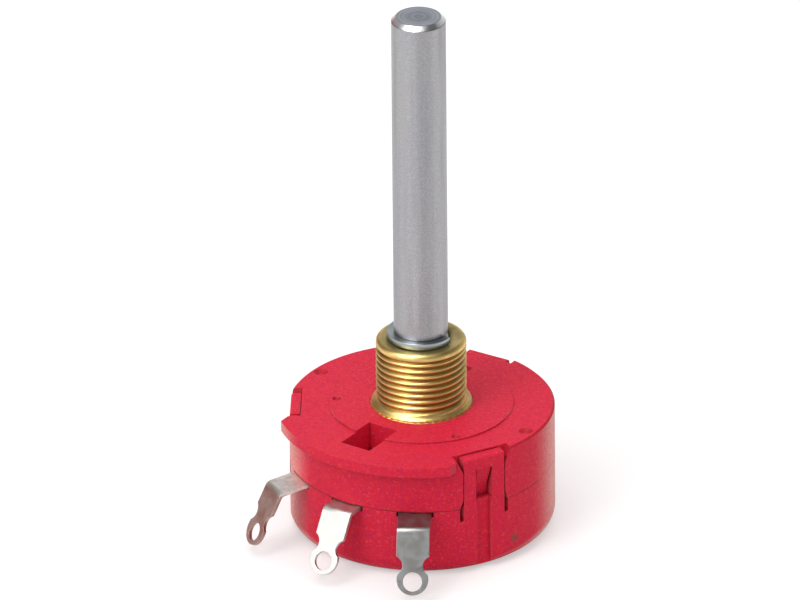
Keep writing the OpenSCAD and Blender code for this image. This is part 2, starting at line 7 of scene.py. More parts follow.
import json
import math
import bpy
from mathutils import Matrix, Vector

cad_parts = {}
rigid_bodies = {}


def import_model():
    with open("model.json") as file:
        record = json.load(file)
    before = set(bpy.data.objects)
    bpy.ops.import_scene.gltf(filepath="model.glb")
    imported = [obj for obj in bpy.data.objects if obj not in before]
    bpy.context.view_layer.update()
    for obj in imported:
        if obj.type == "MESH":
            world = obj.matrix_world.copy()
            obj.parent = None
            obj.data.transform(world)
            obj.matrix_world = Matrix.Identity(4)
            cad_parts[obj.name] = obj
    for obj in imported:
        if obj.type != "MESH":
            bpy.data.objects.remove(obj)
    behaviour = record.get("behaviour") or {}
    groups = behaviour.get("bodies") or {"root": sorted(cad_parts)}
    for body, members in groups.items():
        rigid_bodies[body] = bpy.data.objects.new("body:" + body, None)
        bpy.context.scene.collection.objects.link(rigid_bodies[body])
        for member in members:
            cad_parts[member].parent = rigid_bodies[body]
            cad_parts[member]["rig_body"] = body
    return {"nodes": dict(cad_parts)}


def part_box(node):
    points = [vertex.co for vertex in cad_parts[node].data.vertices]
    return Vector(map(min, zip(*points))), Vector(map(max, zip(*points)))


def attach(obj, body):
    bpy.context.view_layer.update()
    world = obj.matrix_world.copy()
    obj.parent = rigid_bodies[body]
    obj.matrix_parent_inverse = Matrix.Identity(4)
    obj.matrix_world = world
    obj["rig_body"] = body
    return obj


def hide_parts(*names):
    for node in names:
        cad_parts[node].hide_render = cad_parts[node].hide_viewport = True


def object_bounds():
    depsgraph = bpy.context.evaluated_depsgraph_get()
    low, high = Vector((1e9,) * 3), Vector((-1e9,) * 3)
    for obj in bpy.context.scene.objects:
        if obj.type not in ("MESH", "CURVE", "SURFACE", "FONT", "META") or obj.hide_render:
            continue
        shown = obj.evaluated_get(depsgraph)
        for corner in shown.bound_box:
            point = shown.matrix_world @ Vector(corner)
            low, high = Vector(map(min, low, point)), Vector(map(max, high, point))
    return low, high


bl_info = {
    "name": "Rotary Potentiometer",
    "version": (1, 0, 0),
    "blender": (4, 5, 0),
    "location": "View3D > Sidebar > Potentiometer",
    "description": "Dresses a wirewound rotary potentiometer and sets a plain studio round it",
    "category": "Object",
}

import bmesh
import bpy
from bpy.props import FloatProperty, FloatVectorProperty, IntProperty, PointerProperty
from mathutils import Matrix, Vector

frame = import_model()
CAD_BOX = [list(corner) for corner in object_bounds()]
NODES = frame["nodes"]
MM = 0.001

# Heights that the solids give, and the seam between the two shells
FACE_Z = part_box("front_housing")[1].z
BARREL_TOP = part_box("bushing")[1].z
BARREL_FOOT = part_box("bushing")[0].z
SHAFT_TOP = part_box("shaft")[1].z
SPLIT_Z = FACE_Z - 6.35 * MM

SHAFT_RADIUS = 3.0 * MM
WHITE = (1.0, 1.0, 1.0, 1.0)


# Settings that a user may change

def colour_property(name, description, default):
    """A colour."""
    return FloatVectorProperty(
        name=name, description=description, default=default, subtype="COLOR", size=3, min=0.0, max=1.0
    )


def length_property(name, description, default, low=0.0):
    """A length in metres."""
    return FloatProperty(
        name=name, description=description, default=default, min=low, unit="LENGTH", subtype="DISTANCE",
        precision=5
    )


def share_property(name, description, default):
    """A share from none to all."""
    return FloatProperty(
        name=name, description=description, default=default, min=0.0, max=1.0, subtype="FACTOR"
    )


def level_property(name, description, default):
    """A power or a level of light."""
    return FloatProperty(name=name, description=description, default=default, min=0.0)


def angle_property(name, description, degrees):
    """An angle, with its default in degrees."""
    return FloatProperty(
        name=name, description=description, default=math.radians(degrees), subtype="ANGLE", unit="ROTATION"
    )


class BodyFinish(bpy.types.PropertyGroup):
    """Colours and grain of the moulded body."""

    base: colour_property("Base", "Main red of the moulded shells", (0.69, 0.006, 0.036))
    cool: colour_property("Cool", "Purple red of the darker grain", (0.50, 0.008, 0.074))
    warm: colour_property("Warm", "Pale red of the brighter grain", (0.79, 0.088, 0.082))
    painted_sheen: colour_property("Painted sheen", "Pale sheen on walls seen at a flat angle", (0.88, 0.50, 0.44))
    painted_sheen_share: share_property("Painted sheen share", "Strongest share of the pale sheen", 0.85)
    dimple_shade: colour_property("Dimple shade", "Deeper red of the dished marks in the face", (0.42, 0.003, 0.014))
    seam: colour_property("Seam", "Shadow in the seam between the shells", (0.10, 0.002, 0.006))
    grain: length_property("Grain", "Size of the finest grain", 0.26 * MM)
    edge: length_property("Edge", "Radius of the soft moulded edges", 0.10 * MM)
    smudge: colour_property("Smudge", "Handling mark low on the side", (0.10, 0.075, 0.045))
    smudge_radius: length_property("Smudge radius", "Radius of the handling mark", 0.8 * MM)
    smudge_at: FloatVectorProperty(
        name="Smudge centre", description="Centre of the handling mark",
        default=(14.39 * MM, -3.0 * MM, 2.68 * MM), subtype="TRANSLATION", unit="LENGTH"
    )


class MetalFinish(bpy.types.PropertyGroup):
    """Colours of the metal pieces that show."""

    brass: colour_property("Brass", "Clean turned brass", (0.85, 0.60, 0.21))
    brass_root: colour_property("Brass roots", "Tarnished brass in the thread's roots", (0.23, 0.095, 0.014))
    # Olive of the brass's patches, and on the plain top also a painted dark reflection.
    brass_olive: colour_property("Brass patina", "Olive patina on the bushing's top", (0.32, 0.28, 0.12))
    steel: colour_property("Steel", "Ground steel of the shaft", (0.40, 0.39, 0.395))
    steel_streak: colour_property("Steel streaks", "Long darker streaks in the steel", (0.325, 0.325, 0.355))
    steel_dark: colour_property("Dark specks", "Darker specks of the ground steel", (0.27, 0.27, 0.29))
    steel_pale: colour_property("Pale specks", "Paler specks of the ground steel", (0.58, 0.57, 0.57))
    chamfer_highlight: colour_property("Chamfer highlight", "Bright cut edge of the shaft's end", (0.95, 0.96, 0.98))
    faced_pale: colour_property("Faced end", "Paler rings of the shaft's faced end", (0.50, 0.53, 0.58))
    faced_dark: colour_property("End rings", "Darker rings of the shaft's faced end", (0.27, 0.29, 0.34))
    faced_middle: colour_property("End middle", "Middle of the shaft's faced end", (0.15, 0.165, 0.21))
    tin: colour_property("Tin", "Tinned brass of the solder lugs", (0.53, 0.515, 0.485))
    tin_dark: colour_property("Tin patches", "Darker patches in the tin", (0.36, 0.37, 0.38))
    tin_bright: colour_property("Tin edges", "Rubbed edges of the tin", (0.95, 0.93, 0.92))
    # Colours of the start lug's tin: painted shade, as darker copies of the tin's own.
    shaded_tin_dark: colour_property("Shaded tin patches", "Darker patches of the duller lug", (0.24, 0.25, 0.27))
    shaded_tin_bright: colour_property("Shaded tin edges", "Rubbed edges of the duller lug", (0.85, 0.85, 0.85))
    # Reddish brown below a lug's fold: tarnish together with a painted warm reflection.
    tarnish: colour_property("Tarnish", "Reddish brown of the tarnished lug", (0.34, 0.165, 0.135))
    ring: colour_property("Ring", "Spring steel of the retaining ring", (0.40, 0.44, 0.45))
    ring_dark: colour_property("Ring patches", "Darker patches of the spring steel", (0.26, 0.31, 0.32))
    ring_bright: colour_property("Ring edges", "Rubbed edges of the spring steel", (0.85, 0.88, 0.86))


class InnerFinish(bpy.types.PropertyGroup):
    """Colours of the pieces inside the body."""

    contact: colour_property("Contact", "Brass of bands and collector", (0.78, 0.58, 0.24))
    contact_dark: colour_property("Contact patches", "Tarnish of bands and collector", (0.45, 0.30, 0.10))
    bronze: colour_property("Bronze", "Spring bronze of the wiper arm", (0.70, 0.40, 0.22))
    bronze_dark: colour_property("Bronze patches", "Tarnish of the wiper arm", (0.42, 0.20, 0.10))
    washer: colour_property("Washer", "Bronze of the thrust washer", (0.66, 0.45, 0.22))
    washer_dark: colour_property("Washer patches", "Tarnish of the thrust washer", (0.38, 0.24, 0.10))
    wire: colour_property("Wire", "Resistance wire of the winding", (0.62, 0.60, 0.56))
    wire_dark: colour_property("Wire patches", "Darker patches of the wire", (0.40, 0.36, 0.30))
    rivet: colour_property("Rivet", "Metal of the rivets", (0.62, 0.61, 0.60))
    rivet_dark: colour_property("Rivet patches", "Darker patches of the rivets", (0.35, 0.34, 0.33))
    board: colour_property("Board", "Pressboard of the winding's strip", (0.42, 0.27, 0.14))
    board_dark: colour_property("Board grain", "Darker grain of the pressboard", (0.27, 0.15, 0.07))
    board_pale: colour_property("Board edges", "Paler grain of the pressboard", (0.56, 0.40, 0.22))
    hub: colour_property("Hub", "Dark moulding of the rotor hub", (0.030, 0.024, 0.020))
    hub_dark: colour_property("Hub grain", "Darker grain of the hub", (0.012, 0.010, 0.010))
    hub_pale: colour_property("Hub edges", "Paler grain of the hub", (0.075, 0.060, 0.050))
    carbon: colour_property("Carbon", "Carbon of the brushes", (0.035, 0.035, 0.038))
    carbon_dark: colour_property("Carbon grain", "Darker grain of the brushes", (0.015, 0.015, 0.018))
    carbon_pale: colour_property("Carbon edges", "Paler grain of the brushes", (0.10, 0.10, 0.11))


class ThreadSizes(bpy.types.PropertyGroup):
    """Sizes of the bushing's thread and serrated seat."""

    pitch: length_property("Pitch", "Pitch of the helical thread", 0.75 * MM)
    depth: length_property("Depth", "Depth of the thread", 0.30 * MM)
    root: share_property("Root", "Half of the flat root, as a share of the pitch", 0.05)
    flank: share_property("Flank", "From the root's middle to the crest, as a share of the pitch", 0.42)
    start: length_property("Start", "Height where the thread runs out above the seat", 14.5 * MM)
    end: length_property("End", "Height where the thread stops", BARREL_TOP - 0.72 * MM)
    run_out: length_property("Run-out", "Height over which the thread fades in", 0.45 * MM)
    stop: length_property("Stop", "Height over which the thread ends", 0.2 * MM)
    radius: length_property("Radius", "Outer radius of the thread", 5.0 * MM)
    shoulder: length_property("Shoulder", "Radius of the rounded shoulder", 0.56 * MM)
    seat: length_property("Seat", "Outer radius of the serrated seat", 5.6 * MM)
    seat_height: length_property("Seat height", "Height of the serrations", 0.22 * MM)
    teeth: IntProperty(name="Teeth", description="Number of serrations round the seat", default=44, min=3)
    tooth_depth: length_property("Tooth depth", "Depth of a serration", 0.13 * MM)


class StudioSettings(bpy.types.PropertyGroup):
    """Camera, floor and light."""

    azimuth: angle_property("Azimuth", "Camera's angle round the object", 34.6)
    elevation: angle_property("Elevation", "Camera's angle above the floor", 26.46)
    roll: angle_property("Roll", "Turn of the camera about its own axis", 0.5)
    distance: length_property("Distance", "From the mounting face to the camera", 2.0)
    aim_right: length_property("Aim right", "Sideways shift of the camera", -2.370 * MM, low=-1.0)
    aim_up: length_property("Aim up", "Upward shift of the camera", 11.136 * MM, low=-1.0)
    lens: FloatProperty(name="Lens", description="Focal length in millimetres", default=816.3, min=1.0)
    floor: colour_property("Floor", "Colour of the floor", (0.62, 0.62, 0.62))
    floor_glow: level_property("Floor glow", "Light that the floor adds to look white", 0.42)
    key: level_property("Key light", "Power of the key light in watts", 6.0)
    sky: level_property("Sky light", "Level of the light from all round", 0.62)


# Node trees

class TreeBuilder:
    """Adds nodes to a tree, sets their inputs and links them."""

    def __init__(self, tree):
        """Keeps the tree that gets the nodes."""
        self.tree = tree

    def feed(self, value, socket):
        """Links another node's output to a socket, or sets the socket to a value."""
        if isinstance(value, bpy.types.NodeSocket):
            self.tree.links.new(value, socket)
        else:
            socket.default_value = value

    def add(self, kind, inputs=None, **settings):
        """A new node. An input is named or numbered, and takes a value or another node's output."""
        node = self.tree.nodes.new(kind)
        for key, value in settings.items():
            setattr(node, key, value)
        for key, value in (inputs or {}).items():
            self.feed(value, node.inputs[key])
        return node

    def math(self, operation, a, b=0.0, clamp=False):
        """The output of one sum."""
        return self.add("ShaderNodeMath", {0: a, 1: b}, operation=operation, use_clamp=clamp).outputs[0]

    def product(self, first, *others):
        """Values multiplied together."""
        for value in others:
            first = self.math("MULTIPLY", first, value)
        return first

    def span(self, value, low, high, to_low=0.0, to_high=1.0, smooth=True):
        """A value from one span laid on another, held at both ends."""
        inputs = {"Value": value, "From Min": low, "From Max": high, "To Min": to_low, "To Max": to_high}
        kind = "SMOOTHSTEP" if smooth else "LINEAR"
        return self.add("ShaderNodeMapRange", inputs, interpolation_type=kind).outputs["Result"]

    def blend(self, factor, a, b):
        """A mix of two colours."""
        return self.add("ShaderNodeMix", {0: factor, 6: a, 7: b}, data_type="RGBA").outputs[2]

    def noise(self, vector, scale, detail=2.0, roughness=0.5):
        """The value of a noise texture."""
        inputs = {"Vector": vector, "Scale": scale, "Detail": detail, "Roughness": roughness}
        return self.add("ShaderNodeTexNoise", inputs).outputs[0]

    def dot(self, a, b):
        """How far two unit vectors agree."""
        return self.add("ShaderNodeVectorMath", {0: a, 1: b}, operation="DOT_PRODUCT").outputs["Value"]

    def place(self):
        """Where a point lies on its object, as one vector."""
        return self.add("ShaderNodeTexCoord").outputs["Object"]

    def parts(self, vector):
        """The three parts of a vector."""
        return self.add("ShaderNodeSeparateXYZ", {0: vector}).outputs

    def from_axis(self, place):
        """Distance from the upright axis, from the three parts of a place."""
        flat = self.add("ShaderNodeCombineXYZ", {0: place[0], 1: place[1]}).outputs[0]
        return self.add("ShaderNodeVectorMath", {0: flat}, operation="LENGTH").outputs["Value"]


def rgba(colour):
    """A colour with full alpha."""
    return (*colour[:3], 1.0)


def scaled(colour, share):
    """A colour made darker or lighter by a share, up to white."""
    return tuple(min(1.0, share * part) for part in colour)


def new_group(name, kind, inputs, outputs):
    """A node group with named sockets, as its builder, its inputs and its outputs."""
    tree = bpy.data.node_groups.new(name, kind)
    for label, socket, default in inputs:
        made = tree.interface.new_socket(label, in_out="INPUT", socket_type="NodeSocket" + socket)
        if default is not None:
            made.default_value = default
    for label, socket in outputs:
        tree.interface.new_socket(label, in_out="OUTPUT", socket_type="NodeSocket" + socket)
    build = TreeBuilder(tree)
    return build, build.add("NodeGroupInput").outputs, build.add("NodeGroupOutput").inputs


def mottle_group():
    """Mottled colour of moulded plastic, from three sizes of grain."""
    build, given, out = new_group(
        "Moulded Mottle", "ShaderNodeTree",
        [("Base", "Color", None), ("Cool", "Color", None), ("Warm", "Color", None),
         ("Grain", "Float", 0.3 * MM)],
        [("Color", "Color"), ("Roughness", "Float"), ("Height", "Float")],
    )
    place = build.place()
    fine_scale = build.math("DIVIDE", 1.0, given["Grain"])
    fine = build.noise(place, fine_scale, 2.0, 0.6)
    middle = build.noise(place, build.product(fine_scale, 0.55), 3.0, 0.65)
    broad = build.noise(place, build.product(fine_scale, 0.045), 2.0)
    cool = build.product(build.span(middle, 0.46, 0.66, 0.0, 0.55), build.span(broad, 0.35, 0.65, 0.55, 1.0))
    colour = build.blend(cool, given["Base"], given["Cool"])
    colour = build.blend(build.span(fine, 0.53, 0.74, 0.0, 0.55), colour, given["Warm"])
    colour = build.blend(build.span(fine, 0.46, 0.28, 0.0, 0.5), colour, given["Cool"])
    build.feed(colour, out["Color"])
    build.feed(build.span(middle, 0.3, 0.7, 0.50, 0.66), out["Roughness"])
    build.feed(build.math("ADD", fine, build.product(middle, 0.8)), out["Height"])
    return build.tree


def edge_group():
    """Soft edges: a normal that rounds every edge, and a mask of the places that get rubbed."""
    build, given, out = new_group(
        "Soft Edges", "ShaderNodeTree", [("Radius", "Float", 0.1 * MM)],
        [("Normal", "Vector"), ("Wear", "Float")],
    )
    rounded = build.add("ShaderNodeBevel", {"Radius": given["Radius"]}, samples=6).outputs[0]
    plain = build.add("ShaderNodeNewGeometry").outputs["Normal"]
    worn = build.span(build.dot(rounded, plain), 0.995, 0.86)
    uneven = build.span(build.noise(build.place(), 900.0, 3.0, 0.65), 0.35, 0.6, 0.25, 1.0)
    build.feed(rounded, out["Normal"])
    build.feed(build.product(worn, uneven), out["Wear"])
    return build.tree


def turned_group():
    """Fine rings that a lathe or grinder leaves, round the axis on sides and ends alike."""
    build, given, out = new_group(
        "Turned Marks", "ShaderNodeTree", [("Spacing", "Float", 0.1 * MM)],
        [("Height", "Float"), ("Mask", "Float")],
    )
    place = build.parts(build.place())
    along = build.math("DIVIDE", build.math("ADD", place[2], build.from_axis(place)), given["Spacing"])
    rings = build.add(
        "ShaderNodeTexNoise", {"W": along, "Scale": 1.0, "Detail": 3.0, "Roughness": 0.7},
        noise_dimensions="1D"
    ).outputs[0]
    build.feed(rings, out["Height"])
    build.feed(build.span(rings, 0.42, 0.7), out["Mask"])
    return build.tree


def patch_group():
    """Uneven patches that may be drawn out along the height, with finer flecks in them."""
    build, given, out = new_group(
        "Patches", "ShaderNodeTree", [("Size", "Float", 2.0 * MM), ("Stretch", "Float", 1.0)],
        [("Patches", "Float"), ("Flecks", "Float")],
    )
    place = build.parts(build.place())
    height = build.math("DIVIDE", place[2], given["Stretch"])
    drawn = build.add("ShaderNodeCombineXYZ", {0: place[0], 1: place[1], 2: height}).outputs[0]
    scale = build.math("DIVIDE", 1.0, given["Size"])
    build.feed(build.span(build.noise(drawn, scale, 3.0, 0.6), 0.38, 0.64), out["Patches"])
    build.feed(build.span(build.noise(drawn, build.product(scale, 7.0), 2.0, 0.6), 0.45, 0.7), out["Flecks"])
    return build.tree


def radius_group():
    """Mask that runs from 1 at an inner radius from the axis to 0 at an outer one."""
    build, given, out = new_group(
        "Radius Mask", "ShaderNodeTree", [("Inner", "Float", 0.0), ("Outer", "Float", 1.0)],
        [("Mask", "Float")],
    )
    radius = build.from_axis(build.parts(build.place()))
    build.feed(build.span(radius, given["Inner"], given["Outer"], 1.0, 0.0), out["Mask"])
    return build.tree


def smudge_group():
    """Mask of one small smudge with a ragged edge."""
    build, given, out = new_group(
        "Smudge", "ShaderNodeTree", [("Centre", "Vector", None), ("Radius", "Float", 0.5 * MM)],
        [("Mask", "Float")],
    )
    place = build.place()
    away = build.add("ShaderNodeVectorMath", {0: place, 1: given["Centre"]}, operation="DISTANCE")
    ragged = build.math("SUBTRACT", build.noise(place, 1600.0, 2.0), 0.5)
    reach = build.math("ADD", away.outputs["Value"], build.product(ragged, given["Radius"]))
    build.feed(build.span(reach, given["Radius"], 0.0), out["Mask"])
    return build.tree


def crevice_shade_group():
    """Mask of narrow gaps and inner corners, where shade is painted in."""
    build, given, out = new_group(
        "Crevice Shade", "ShaderNodeTree", [("Reach", "Float", 1.0 * MM)], [("Mask", "Float")],
    )
    around = build.add("ShaderNodeAmbientOcclusion", {"Distance": given["Reach"]}, samples=8)
    build.feed(build.span(around.outputs["AO"], 0.86, 0.30), out["Mask"])
    return build.tree


def dished_group():
    """Mask of sloping surfaces above a level, as in the shallow dimples of a level face."""
    build, given, out = new_group(
        "Dished Marks", "ShaderNodeTree", [("Level", "Float", 0.0)], [("Mask", "Float")],
    )
    source = build.add("ShaderNodeTexCoord").outputs
    slope = build.math("ABSOLUTE", build.parts(source["Normal"])[2])
    height = build.parts(source["Object"])[2]
    sloping = build.product(build.span(slope, 0.995, 0.95), build.span(slope, 0.3, 0.45))
    build.feed(build.product(sloping, build.math("GREATER_THAN", height, given["Level"])), out["Mask"])
    return build.tree


def seam_group():
    """Mask of the thin dark gap along a level seam, a little uneven in width."""
    build, given, out = new_group(
        "Seam", "ShaderNodeTree", [("Level", "Float", 0.0), ("Width", "Float", 0.1 * MM)],
        [("Mask", "Float")],
    )
    place = build.place()
    away = build.math("ABSOLUTE", build.math("SUBTRACT", build.parts(place)[2], given["Level"]))
    uneven = build.span(build.noise(place, 420.0, 2.0), 0.35, 0.65, 0.6, 1.25)
    width = build.product(given["Width"], uneven)
    build.feed(build.span(away, build.product(width, 0.45), width, 1.0, 0.0), out["Mask"])
    return build.tree


GROUP_MAKERS = {
    "mottle": mottle_group, "edges": edge_group, "turned": turned_group, "patches": patch_group,
    "radius": radius_group, "smudge": smudge_group, "crevice_shade": crevice_shade_group, "dished": dished_group,
    "seam": seam_group,
}
MADE_GROUPS = {}


def effect(build, name, inputs):
    """The outputs of one shared effect, placed in a material with its own values."""
    if name not in MADE_GROUPS:
        MADE_GROUPS[name] = GROUP_MAKERS[name]()
    return build.add("ShaderNodeGroup", inputs, node_tree=MADE_GROUPS[name]).outputs


# Finishes

def new_material(name):
    """A material, its builder and the inputs of its shader."""
    material = bpy.data.materials.new(name)
    material.use_nodes = True
    build = TreeBuilder(material.node_tree)
    return material, build, material.node_tree.nodes["Principled BSDF"].inputs


def plastic(name, base, cool, warm, grain, edge):
    """Matt moulded plastic with mottled grain, soft edges and painted shade in its inner corners, and its two
    masks.
    """
    material, build, shader = new_material(name)
    colours = {"Base": rgba(base), "Cool": rgba(cool), "Warm": rgba(warm)}
    mottle = effect(build, "mottle", {**colours, "Grain": grain})
    edges = effect(build, "edges", {"Radius": edge})
    corners = effect(build, "crevice_shade", {"Reach": 0.55 * MM})["Mask"]
    colour = build.blend(build.product(edges["Wear"], 0.3), mottle["Color"], rgba(warm))
    # Painted shade: narrow gaps and inner corners are painted a dark red.
    colour = build.blend(build.product(corners, 0.6), colour, rgba(scaled(base, 0.16)))
    bump = build.add(
        "ShaderNodeBump",
        {"Strength": 0.35, "Distance": 0.03 * MM, "Height": mottle["Height"], "Normal": edges["Normal"]},
    )
    build.feed(colour, shader["Base Color"])
    build.feed(mottle["Roughness"], shader["Roughness"])
    build.feed(bump.outputs[0], shader["Normal"])
    shader["IOR"].default_value = 1.33
    shader["Sheen Weight"].default_value = 0.2
    shader["Sheen Roughness"].default_value = 0.25
    shader["Sheen Tint"].default_value = (1.0, 0.80, 0.74, 1.0)
    return material, build, shader, mottle["Height"], corners


def moulded_shell(name, look, seamed=False, smudged=False):
    """Red plastic of one shell, with a painted sheen that makes upright walls seen at a flat angle pale."""
    reds = (look.base, look.cool, look.warm)
    material, build, shader, grain_height, corners = plastic(name, *reds, look.grain, look.edge)
    colour = shader["Base Color"].links[0].from_socket
    if smudged:
        mark = effect(build, "smudge", {"Centre": look.smudge_at, "Radius": look.smudge_radius})
        colour = build.blend(build.product(mark["Mask"], 0.85), colour, rgba(look.smudge))
    if seamed:
        # Painted shade: the sloping walls of the shallow dimples in the face are painted a deeper red.
        dimple_depth = 0.8 * MM
        dished = effect(build, "dished", {"Level": FACE_Z - dimple_depth})
        colour = build.blend(build.product(dished["Mask"], 0.85), colour, rgba(look.dimple_shade))
        gap = effect(build, "seam", {"Level": SPLIT_Z, "Width": 0.17 * MM})
        colour = build.blend(build.product(gap["Mask"], 0.7), colour, rgba(look.seam))
    # Painted sheen: upright walls seen at a flat angle turn pale, in place of the reflection of the white
    # room.
    facing = build.add("ShaderNodeLayerWeight", {"Blend": 0.5}).outputs["Facing"]
    slope = build.parts(build.add("ShaderNodeTexCoord").outputs["Normal"])[2]
    upright = build.span(build.math("ABSOLUTE", slope), 0.3, 0.7, 1.0, 0.0)
    upright = build.math("SUBTRACT", upright, corners, clamp=True)
    grainy = build.product(build.span(grain_height, 0.7, 1.1, 0.5, 1.0), upright)
    painted_sheen = build.product(build.span(facing, 0.50, 0.86, 0.0, look.painted_sheen_share), grainy)
    build.feed(build.blend(painted_sheen, colour, rgba(look.painted_sheen)), shader["Base Color"])
    return material


def metal(name, clean, patch, patch_size, roughness, spacing=None, stretch=1.0, patch_share=0.6,
          edge=0.06 * MM, bright=None, relief=0.5):
    """Bare metal with patches, flecks, tool marks where it was turned, and rubbed edges."""
    material, build, shader = new_material(name)
    patches = effect(build, "patches", {"Size": patch_size, "Stretch": stretch})
    edges = effect(build, "edges", {"Radius": edge})
    colour = build.blend(build.product(patches["Patches"], patch_share), rgba(clean), rgba(patch))
    colour = build.blend(build.product(patches["Flecks"], 0.22 * patch_share), colour, rgba(patch))
    smoother, duller = 0.88 * roughness, 1.18 * roughness
    rough = build.span(patches["Patches"], 0.0, 1.0, smoother, duller, smooth=False)
    height = patches["Flecks"]
    distance = 0.004 * MM
    if spacing:
        marks = effect(build, "turned", {"Spacing": spacing})
        colour = build.blend(build.product(marks["Mask"], 0.16), colour, rgba(patch))
        height = marks["Height"]
        distance = 0.012 * MM
    colour = build.blend(build.product(edges["Wear"], 0.6), colour, rgba(bright or scaled(clean, 1.25)))
    bump = build.add(
        "ShaderNodeBump",
        {"Strength": relief, "Distance": distance, "Height": height, "Normal": edges["Normal"]},
    )
    build.feed(colour, shader["Base Color"])
    build.feed(rough, shader["Roughness"])
    build.feed(bump.outputs[0], shader["Normal"])
    shader["Metallic"].default_value = 1.0
    return material, build, shader


def brass_of_bushing(metals, thread):
    """Turned brass that is tarnished in the roots of the thread, and painted olive on its plain top as patina
    and a darker reflection.
    """
    material, build, shader = metal(
        "bushing_turned_brass", metals.brass, metals.brass_olive, 2.2 * MM, 0.38, spacing=0.09 * MM,
        patch_share=0.4, edge=0.03 * MM
    )
    colour = shader["Base Color"].links[0].from_socket
    height = build.parts(build.place())[2]
    root_radius = thread.radius - thread.depth
    root = effect(build, "radius", {"Inner": root_radius, "Outer": thread.radius - 0.05 * MM})
    below_top = build.span(height, thread.end, thread.end - 0.1 * MM)
    above_seat = build.span(height, thread.start, thread.start + 0.4 * MM)
    tarnish = build.product(root["Mask"], below_top, above_seat, 0.88)
    colour = build.blend(tarnish, colour, rgba(metals.brass_root))
    # Patina and painted dark reflection: the plain top is painted a darker olive.
    top = effect(build, "radius", {"Inner": thread.radius - 0.75 * MM, "Outer": thread.radius - 0.30 * MM})
    upper = build.span(height, thread.end + 0.3 * MM, thread.end + 0.6 * MM)
    colour = build.blend(build.product(top["Mask"], upper, 0.65), colour, rgba(metals.brass_olive))
    build.feed(colour, shader["Base Color"])
    return material


def steel_of_shaft(metals):
    """Ground steel with fine specks, a cut edge at the end painted bright as a highlight, and a faced end
    that is darker in its middle.
    """
    material, build, shader = metal(
        "ground_steel", metals.steel, metals.steel_streak, 1.1 * MM, 0.36, spacing=0.16 * MM, stretch=22.0,
        patch_share=0.6, edge=0.04 * MM, relief=0.35
    )
    colour = shader["Base Color"].links[0].from_socket
    speckle = build.noise(build.place(), 7000.0, 2.0, 0.7)
    colour = build.blend(build.span(speckle, 0.45, 0.68, 0.0, 0.5), colour, rgba(metals.steel_dark))
    colour = build.blend(build.span(speckle, 0.47, 0.30, 0.0, 0.4), colour, rgba(metals.steel_pale))
    height = build.parts(build.place())[2]
    # Painted highlight: the cut edge round the end is painted near white, far lighter than the ground steel.
    chamfer_z = SHAFT_TOP - 0.6 * MM
    near_end = build.span(height, chamfer_z - 0.1 * MM, chamfer_z)
    inside = effect(build, "radius", {"Inner": SHAFT_RADIUS - 0.1 * MM, "Outer": SHAFT_RADIUS - 0.03 * MM})
    colour = build.blend(build.product(near_end, inside["Mask"], 0.9), colour, rgba(metals.chamfer_highlight))
    end = build.span(height, SHAFT_TOP - 0.03 * MM, SHAFT_TOP - 0.01 * MM)
    rings = effect(build, "turned", {"Spacing": 0.42 * MM})
    faced = build.blend(rings["Mask"], rgba(metals.faced_dark), rgba(metals.faced_pale))
    colour = build.blend(build.product(end, 0.9), colour, faced)
    middle = effect(build, "radius", {"Inner": 0.6 * MM, "Outer": 2.6 * MM})
    colour = build.blend(build.product(end, middle["Mask"], 0.5), colour, rgba(metals.faced_middle))
    build.feed(colour, shader["Base Color"])
    return material


def lit_tin_with_tarnish(metals):
    """Tin painted lighter, as if lit more, and reddish brown below the lug's fold from tarnish and a painted
    warm reflection.
    """
    # Painted light: this lug's tin is a copy 1.7 times lighter than the other lugs'.
    material, build, shader = metal(
        "tinned_brass_lit_warm", scaled(metals.tin, 1.7), metals.tin_dark, 1.1 * MM, 0.43, patch_share=0.4,
        edge=0.08 * MM, bright=metals.tin_bright
    )
    colour = shader["Base Color"].links[0].from_socket
    # Tarnish and a painted warm reflection: below the fold the tin is painted reddish brown.
    fold_z = 7.3 * MM
    below_fold = build.span(build.parts(build.place())[2], fold_z, fold_z - 0.4 * MM)
    spread = effect(build, "patches", {"Size": 2.4 * MM})
    uneven = build.span(spread["Patches"], 0.0, 1.0, 0.75, 0.95, smooth=False)
    colour = build.blend(build.product(below_fold, uneven), colour, rgba(metals.tarnish))
    build.feed(colour, shader["Base Color"])
    return material


def paint(node, material):
    """Gives a node of the solids its material."""
    for slot in NODES[node].material_slots:
        slot.material = material


# Shapes

def finish_mesh(name, bm, sharp=35.0):
    """A linked object from a bmesh, smooth apart from edges sharper than an angle in degrees."""
    mesh = bpy.data.meshes.new(name)
    bm.to_mesh(mesh)
    bm.free()
    mesh.shade_smooth()
    mesh.set_sharp_from_angle(angle=math.radians(sharp))
    made = bpy.data.objects.new(name, mesh)
    bpy.context.scene.collection.objects.link(made)
    return made


def applied(source, name, sharp=None):
    """The plain mesh of an object with its modifiers, which replaces the object."""
    bpy.context.view_layer.update()
    graph = bpy.context.evaluated_depsgraph_get()
    mesh = bpy.data.meshes.new_from_object(source.evaluated_get(graph), depsgraph=graph)
    old = source.data
    bpy.data.objects.remove(source)
    bpy.data.meshes.remove(old)
    mesh.name = name
    if sharp:
        mesh.shade_smooth()
        mesh.set_sharp_from_angle(angle=math.radians(sharp))
    made = bpy.data.objects.new(name, mesh)
    bpy.context.scene.collection.objects.link(made)
    return made


def lathe(name, profile, segments):
    """A closed ring from a closed outline of (radius, height) points."""
    bm = bmesh.new()
    turn = [2 * math.pi * k / segments for k in range(segments)]
    rings = []
    for radius, height in profile:
        rings.append([bm.verts.new((radius * math.cos(t), radius * math.sin(t), height)) for t in turn])
    for ring, following in zip(rings, rings[1:] + rings[:1]):
        for k in range(segments):
            after = (k + 1) % segments
            bm.faces.new((ring[k], ring[after], following[after], following[k]))
    bmesh.ops.recalc_face_normals(bm, faces=bm.faces)
    return finish_mesh(name, bm)


